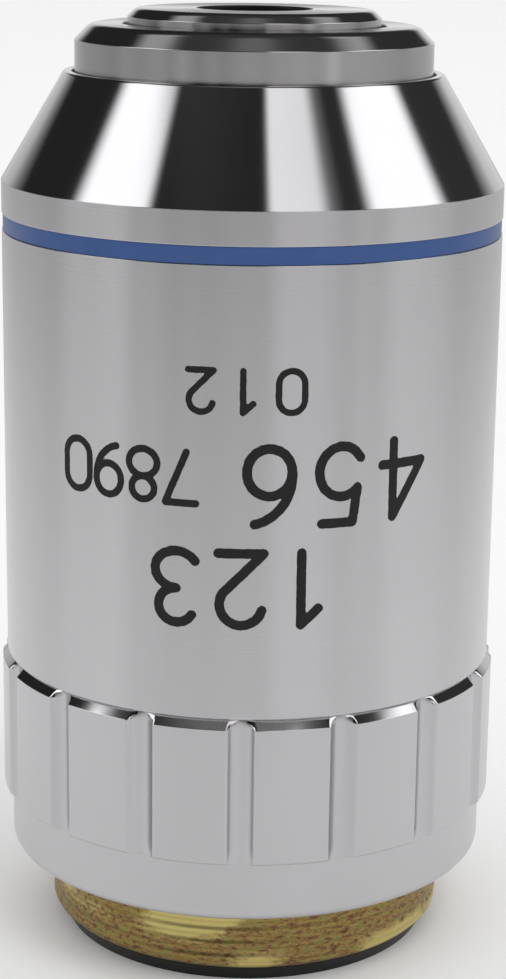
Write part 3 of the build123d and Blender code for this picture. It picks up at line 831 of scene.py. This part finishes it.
# %% [markdown]
# ## Rear ring
# A blackened ring closes the spring chamber and ends in the bevelled edge under the thread. Two slots in
# its bore take a pin spanner. Rings of vertices can't easily go round a slot, so the ring is turned whole,
# and a boolean cuts the slots, as a mill would.

# %% Rear ring
black_metal, black_tree, black_shader, black_cloud = cloudy_finish(
    "black_metal", (0.004, 0.004, 0.004), (0.012, 0.011, 0.010), 800, 4.0,
)
black_shader.inputs["Roughness"].default_value = 0.42
black_shader.inputs["Specular IOR Level"].default_value = 0.2
bump_node(black_tree, black_shader, black_cloud, 0.006, 0.5)
REAR_BORE, REAR_RING_TOP, REAR_BEVEL = 6.6, 5.33, 0.49
SLOT_HALF, SLOT_DEPTH, SLOT_END = 0.8, 1.0, 8.0
rear_corners = [
    (REAR_BORE, 0), (THREAD_RADIUS - THREAD_CHAMFER - REAR_BEVEL, 0),
    (THREAD_RADIUS - THREAD_CHAMFER, REAR_LIP_HEIGHT),
    (CHAMBER_RADIUS, REAR_LIP_HEIGHT), (CHAMBER_RADIUS, REAR_RING_TOP), (REAR_BORE, REAR_RING_TOP),
]
rear_ring = make_piece(
    turned_mesh("rear_ring_fine", eased(rear_corners, 0.05), 192),
    black_metal, "barrel", ["rear_ring"], sharp=40,
)


def cut_box(piece, low, high):
    """Cut a box, given by two corners in millimetres, out of a piece."""
    mesh = bpy.data.meshes.new("cutter")
    corners = [(x, y, z) for x in (low[0], high[0]) for y in (low[1], high[1]) for z in (low[2], high[2])]
    sides = [(0, 1, 3, 2), (4, 6, 7, 5), (0, 4, 5, 1), (2, 3, 7, 6), (0, 2, 6, 4), (1, 5, 7, 3)]
    mesh.from_pydata([[c * MM for c in corner] for corner in corners], [], sides)
    cutter = bpy.data.objects.new("cutter", mesh)
    bpy.context.scene.collection.objects.link(cutter)
    cut = piece.modifiers.new("cut", "BOOLEAN")
    cut.object = cutter
    cut.operation = "DIFFERENCE"
    cut.solver = "EXACT"
    bpy.context.view_layer.update()
    depsgraph = bpy.context.evaluated_depsgraph_get()
    whole = bpy.data.meshes.new_from_object(piece.evaluated_get(depsgraph))
    piece.modifiers.remove(cut)
    piece.data = whole
    bpy.data.objects.remove(cutter)


cut_box(rear_ring, (-SLOT_HALF, -SLOT_END, -0.5), (SLOT_HALF, SLOT_END, SLOT_DEPTH))
rear_ring.data.set_sharp_from_angle(angle=math.radians(40))
print("spanner slots cut:", len(rear_ring.data.polygons), "faces")

# %% [markdown]
# ## Nose
# The collar and the front cell are screwed to the lens tube and slide with it. Both are turned, with a
# polished bevel: a ring, and in it a flat disc with the hole that the light comes through. The bevels could
# be pieces of their own, but as faces with another finish they can't open a gap. The inside of the hole is
# blackened, so that it shows as dark as it does on the real one.

# %% Collar and front cell
COLLAR_RADIUS, COLLAR_FOOT, COLLAR_TOP = 8.80, 41.03, 46.28
DISC_RADIUS, DISC_FOOT, NOSE_TOP = 6.22, 45.68, 47.03
SHANK_RADIUS, TUBE_TOP, SPIGOT_RADIUS = 5.50, 43.83, 7.30
LENS_RADIUS, LENS_HOLE, PLATE_FOOT, SHANK_FOOT = 3.40, 2.75, 46.13, 41.135
COLLAR_BEVEL, DISC_BEVEL, LENS_CLEARANCE = 0.78, 0.42, 0.02
RECESS_RADIUS = DISC_RADIUS + 0.25
collar_corners = [
    (SPIGOT_RADIUS, COLLAR_FOOT), (COLLAR_RADIUS, COLLAR_FOOT), (COLLAR_RADIUS, COLLAR_TOP - COLLAR_BEVEL),
    (COLLAR_RADIUS - COLLAR_BEVEL, COLLAR_TOP), (RECESS_RADIUS, COLLAR_TOP),
    (RECESS_RADIUS, DISC_FOOT), (SHANK_RADIUS, DISC_FOOT),
    (SHANK_RADIUS, TUBE_TOP), (SPIGOT_RADIUS, TUBE_TOP),
]
collar_breaks = [0.04, 0.05, 0.06, 0.7, 0.06, 0.03, 0.03, 0.03, 0.03]
collar_chrome = turned_metal("collar_chrome", (0.56, 0.56, 0.56), 0.16, grain=1.0, rings_mm=0.1)
bevel_chrome = turned_metal(
    "bevel_chrome", (0.56, 0.56, 0.56), 0.12, grain=0.5, rings_mm=0.1, ring_depth_mm=0.0004,
)
collar = make_piece(
    turned_mesh("nose_collar_fine", eased(collar_corners, collar_breaks, 8), 224),
    collar_chrome, "nose", ["nose_collar"],
)
polish_slopes(collar, bevel_chrome, COLLAR_TOP - COLLAR_BEVEL - 0.1)
cell_corners = [
    (LENS_HOLE, NOSE_TOP), (DISC_RADIUS - DISC_BEVEL, NOSE_TOP), (DISC_RADIUS, NOSE_TOP - DISC_BEVEL),
    (DISC_RADIUS, DISC_FOOT), (SHANK_RADIUS, DISC_FOOT),
    (SHANK_RADIUS, SHANK_FOOT), (LENS_RADIUS + LENS_CLEARANCE, SHANK_FOOT),
    (LENS_RADIUS + LENS_CLEARANCE, PLATE_FOOT), (LENS_HOLE, PLATE_FOOT),
]
cell_breaks = [0.12, 0.6, 0.05, 0.06, 0.03, 0.03, 0.02, 0.0, 0.05]
front_cell = make_piece(
    turned_mesh("front_cell_fine", eased(cell_corners, cell_breaks, 8), 224),
    collar_chrome, "nose", ["front_cell"],
)
polish_slopes(front_cell, bevel_chrome, NOSE_TOP - DISC_BEVEL - 0.1)
front_cell.data.materials.append(black_metal)
for face in front_cell.data.polygons:
    if math.hypot(face.center.x, face.center.y) < (LENS_RADIUS + 0.05) * MM and abs(face.normal.z) < 0.98:
        face.material_index = 2
print("nose reaches", NOSE_TOP, "mm")

# %% [markdown]
# ## Front lens
# The lens lies at the bottom of the hole in the front cell. Its two faces are parts of spheres, hollow
# towards the specimen. A cut through two spheres would do, but its outline can simply be worked out, and
# then it is turned like every other piece.

# %% Front lens
glass, _, glass_shader, _ = cloudy_finish("coated_glass", (0.93, 0.96, 0.95), (0.96, 0.98, 0.97), 500, 2.0)
glass_shader.inputs["Transmission Weight"].default_value = 1.0
glass_shader.inputs["Roughness"].default_value = 0.0
glass_shader.inputs["IOR"].default_value = 1.62
LENS_FRONT_CURVE, LENS_BACK_CURVE, LENS_EDGE = -2.94 * LENS_RADIUS, -1.235 * LENS_RADIUS, 3.06
LENS_RINGS = 16


def dome_height(rim, curve, radius):
    """Height of a spherical face at a distance from the axis, from the height of its rim."""
    def sag(r):
        return -curve + math.copysign(math.sqrt(curve**2 - r**2), curve)
    return rim + sag(radius) - sag(LENS_RADIUS)


lens_radii = [LENS_RADIUS * math.sin(math.pi / 2 * i / LENS_RINGS) for i in range(LENS_RINGS + 1)]
lens_outline = [(r, dome_height(PLATE_FOOT - LENS_EDGE, LENS_BACK_CURVE, r)) for r in lens_radii]
lens_outline += [(r, dome_height(PLATE_FOOT, LENS_FRONT_CURVE, r)) for r in reversed(lens_radii)]
make_piece(
    turned_mesh("front_lens_fine", lens_outline, 96),
    glass, "nose", ["front_lens"], sharp=40,
)

# %% [markdown]
# ## Nose spring
# A round steel wire in five turns. A curve with a bevel could make it, but here rings of vertices follow
# the helix, so that its two ends lie just where the frame has them. It is the one piece that changes shape:
# when the nose is pushed in by its 2 mm, it gets shorter. It gets a mesh of its own.

# %% Spring
spring_low, spring_high = (corner * 1000 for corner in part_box("nose_spring"))
WIRE_RADIUS, SPRING_TURNS, SPRING_RADIUS = 0.5, 5, 7.85
coil_foot, coil_rise = spring_low.z + WIRE_RADIUS, spring_high.z - spring_low.z - 2 * WIRE_RADIUS
wire_steps, wire_sides = 60 * SPRING_TURNS, 16
wire_verts = []
for i in range(wire_steps + 1):
    a = 2 * math.pi * SPRING_TURNS * i / wire_steps
    x, y = SPRING_RADIUS * math.cos(a), SPRING_RADIUS * math.sin(a)
    centre = Vector((x, y, coil_foot + coil_rise * i / wire_steps))
    along = Vector((-y, x, coil_rise / (2 * math.pi * SPRING_TURNS)))
    out = Vector((math.cos(a), math.sin(a), 0))
    side = along.normalized().cross(out)
    for j in range(wire_sides):
        b = 2 * math.pi * j / wire_sides
        wire_verts.append((centre + (out * math.cos(b) + side * math.sin(b)) * WIRE_RADIUS) * MM)
spring_faces = ring_faces(wire_steps + 1, wire_sides, closed=False)
spring_faces += [tuple(range(wire_sides)), tuple(wire_steps * wire_sides + j for j in range(wire_sides))]
spring_mesh = bpy.data.meshes.new("nose_spring_fine")
spring_mesh.from_pydata([tuple(v) for v in wire_verts], [], spring_faces)
spring_steel = turned_metal("spring_steel", (0.42, 0.42, 0.43), 0.3, rings_mm=0.3)
nose_spring = make_piece(spring_mesh, spring_steel, "barrel", ["nose_spring"], sharp=60)
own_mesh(nose_spring)

# %% [markdown]
# ## Pieces that stay as the CAD model has them
# The lens tube, the cells and the other lenses have the right shape already. They are inside, so they only
# get a finish: blackened brass, because stray light inside an objective is soaked up, and glass.

# %% Finishes of the inner pieces
inner_brass = turned_metal("inner_brass", (0.50, 0.38, 0.17), 0.33, grain=0.3)
BLACKENED = (
    "second_cell", "third_cell", "fourth_cell", "rear_cell", "aperture_stop", "spacer_tube", "lock_ring",
)
INNER = {"lens_tube": inner_brass, "guide_screw": spring_steel, **dict.fromkeys(BLACKENED, black_metal)}
finished = []
for name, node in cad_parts.items():
    finish = INNER.get(name, glass if name.endswith(("lens", "crown", "flint")) else None)
    if finish is None:
        continue
    node.data.materials.clear()
    node.data.materials.append(finish)
    finished.append(name)
print("finished:", len(finished), "nodes as the CAD model has them")
